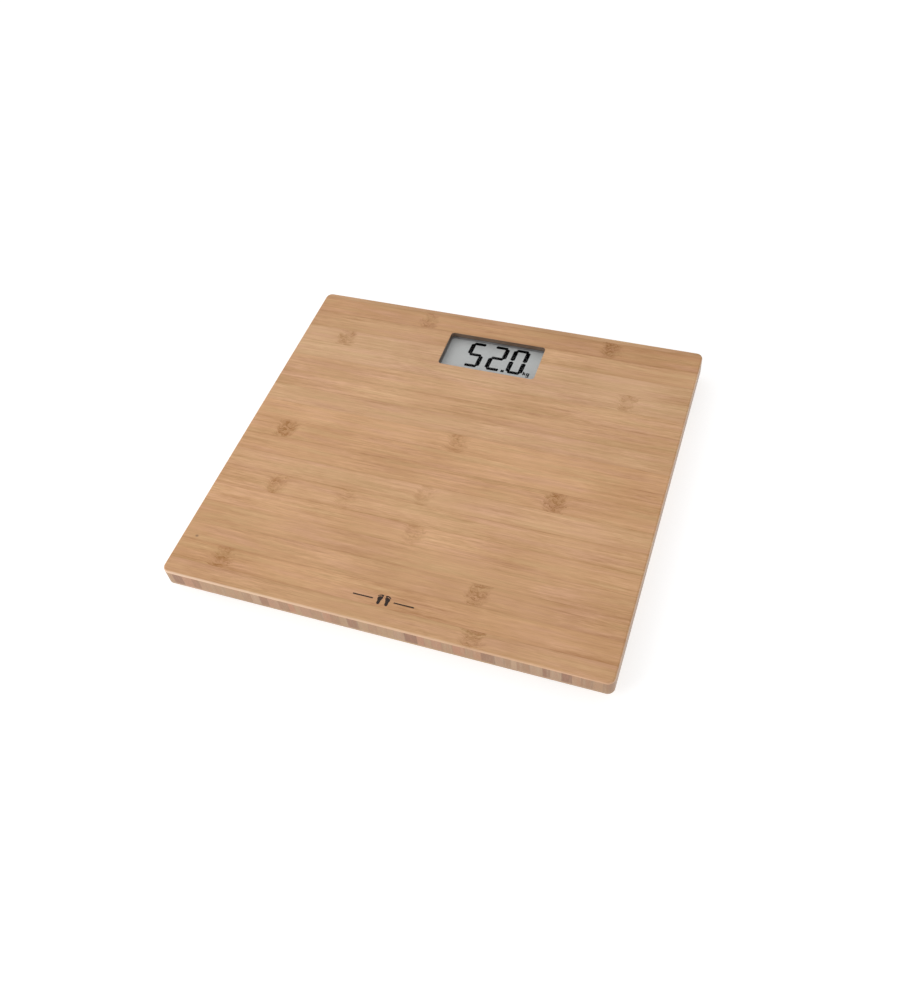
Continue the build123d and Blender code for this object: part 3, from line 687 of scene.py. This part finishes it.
def unit_letters():
    """The small letters k and g beside the last digit, from their lower left corner."""
    x, y, t = UNIT_X, UNIT_Y, UNIT_STROKE
    k = [
        block(x, y, x + t, y + 3.6),
        stroke((x + t, y + 1.1), (x + 1.9, y + 2.3), t),
        stroke((x + 1.1, y + 1.5), (x + 2.1, y + 0.2), t),
    ]
    gx = x + 2.7
    g = [
        block(gx, y + 1.7, gx + 1.5, y + 1.7 + t),
        block(gx, y, gx + 1.5, y + t),
        block(gx, y + t, gx + t, y + 1.7),
        block(gx + 1.5, y - 0.8, gx + 1.5 + t, y + 1.7 + t),
        block(gx + 0.2, y - 0.8 - t, gx + 1.5 + t, y - 0.8),
    ]
    return k + g


def make_reading():
    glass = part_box("lcd_front_glass")[1].z / MM
    outlines = unit_letters()
    for figure, left in READING:
        outlines += digit(SEGMENTS[figure], left, READING_Y)
    left, right, height = POINT
    outlines.append(block(left, READING_Y, right, READING_Y + height))
    prism("lcd_reading", outlines, glass, glass + INK_RISE, lcd_ink(), "platform")


# A pair of footprints between two thin lines, printed near the front edge
PRINT_Y = -121.8
PRINT_SINK = 0.02
PRINT_RISE = 0.02
LINE_INNER = 7.0
LINE_OUTER = 20.5
LINE_HALF = 0.45
FOOT_APART = 2.6
# Outline of the right sole, and place and radius of each toe, from the foot's middle
SOLE = (
    (-1.75, 2.1), (-1.1, 2.55), (-0.1, 2.55), (0.9, 2.15), (1.6, 1.3), (1.55, 0.3), (1.15, -0.6),
    (1.1, -1.6), (1.2, -2.4), (0.95, -3.2), (0.25, -3.6), (-0.5, -3.4), (-0.95, -2.7),
    (-0.95, -1.7), (-1.05, -0.6), (-1.5, 0.5), (-1.85, 1.4),
)
TOES = (
    (-1.35, 3.05, 0.62), (-0.45, 3.35, 0.46), (0.3, 3.15, 0.40), (0.95, 2.8, 0.36),
    (1.5, 2.3, 0.33),
)
TOE_RISE = 0.1
TOE_STRETCH = 1.15
TOE_STEPS = 14


def footprint(side):
    """Sole and toes of one foot; side is -1 for the left foot and 1 for the right one."""
    centre = side * FOOT_APART
    outlines = [[(centre + side * x, PRINT_Y + y) for x, y in SOLE]]
    for x, y, radius in TOES:
        high = PRINT_Y + y + TOE_RISE
        outlines.append(oval(centre + side * x, high, radius, radius * TOE_STRETCH, TOE_STEPS))
    return outlines


def make_print():
    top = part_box("bamboo_top_ply")[1].z / MM
    outlines = footprint(-1) + footprint(1)
    for side in (-1, 1):
        x0, x1 = sorted((side * LINE_INNER, side * LINE_OUTER))
        outlines.append(block(x0, PRINT_Y - LINE_HALF, x1, PRINT_Y + LINE_HALF))
    prism("footprint_print", outlines, top - PRINT_SINK, top + PRINT_RISE, print_ink(), "platform")


# Room: a pale floor and soft light from three lamps and an even sky

FLOOR_HALF = 6.0
FLOOR_GREYS = ((0.51, 0.51, 0.51, 1), (0.53, 0.53, 0.53, 1))
FLOOR_GLOW = 0.69
SKY_GLOW = 0.44
# Name, place, size and power of each lamp
LAMPS = (
    ("key", (-0.82, -0.90, 0.78), 0.8, 7.8),
    ("fill", (1.2, 0.3, 1.3), 1.4, 2.5),
    ("top", (-0.6, 0.8, 1.5), 1.6, 7.3),
)


def floor_white():
    """White floor that gives off some light, and can be seen through from below."""
    g = Graph("floor_white")
    soft = g.noise(g.place, 0.01, 2)
    shader = g.tree.nodes.new("ShaderNodeBsdfPrincipled")
    g.put(shader.inputs["Base Color"], g.mix(soft, *FLOOR_GREYS))
    shader.inputs["Roughness"].default_value = 0.9
    shader.inputs["Specular IOR Level"].default_value = 0.1
    shader.inputs["Emission Color"].default_value = (1, 1, 1, 1)
    shader.inputs["Emission Strength"].default_value = FLOOR_GLOW
    below = g.tree.nodes.new("ShaderNodeNewGeometry")
    clear = g.tree.nodes.new("ShaderNodeBsdfTransparent")
    both = g.tree.nodes.new("ShaderNodeMixShader")
    g.put(both.inputs[0], below.outputs["Backfacing"])
    g.put(both.inputs[1], shader.outputs[0])
    g.put(both.inputs[2], clear.outputs[0])
    g.finish(both.outputs[0])
    return g.material


def make_stage():
    mesh = bpy.data.meshes.new("floor")
    half = FLOOR_HALF
    corners = [(-half, -half, 0), (half, -half, 0), (half, half, 0), (-half, half, 0)]
    mesh.from_pydata(corners, [], [(0, 1, 2, 3)])
    mesh.materials.append(floor_white())
    floor = bpy.data.objects.new("floor", mesh)
    bpy.context.scene.collection.objects.link(floor)

    world = bpy.data.worlds.new("world")
    bpy.context.scene.world = world
    world.use_nodes = True
    sky = world.node_tree.nodes["Background"]
    sky.inputs["Color"].default_value = (1.0, 1.0, 1.0, 1.0)
    sky.inputs["Strength"].default_value = SKY_GLOW
    for lamp in LAMPS:
        softbox(*lamp)


def softbox(name, place, size, power):
    """Square lamp that faces the object's middle."""
    data = bpy.data.lights.new(name, "AREA")
    data.shape = "SQUARE"
    data.size = size
    data.energy = power
    lamp = bpy.data.objects.new(name, data)
    lamp.location = place
    lamp.rotation_mode = "QUATERNION"
    lamp.rotation_quaternion = (-Vector(place)).to_track_quat("-Z", "Y")
    bpy.context.scene.collection.objects.link(lamp)


make_camera()
make_stage()
paint_cad_nodes()
make_reading()
make_print()
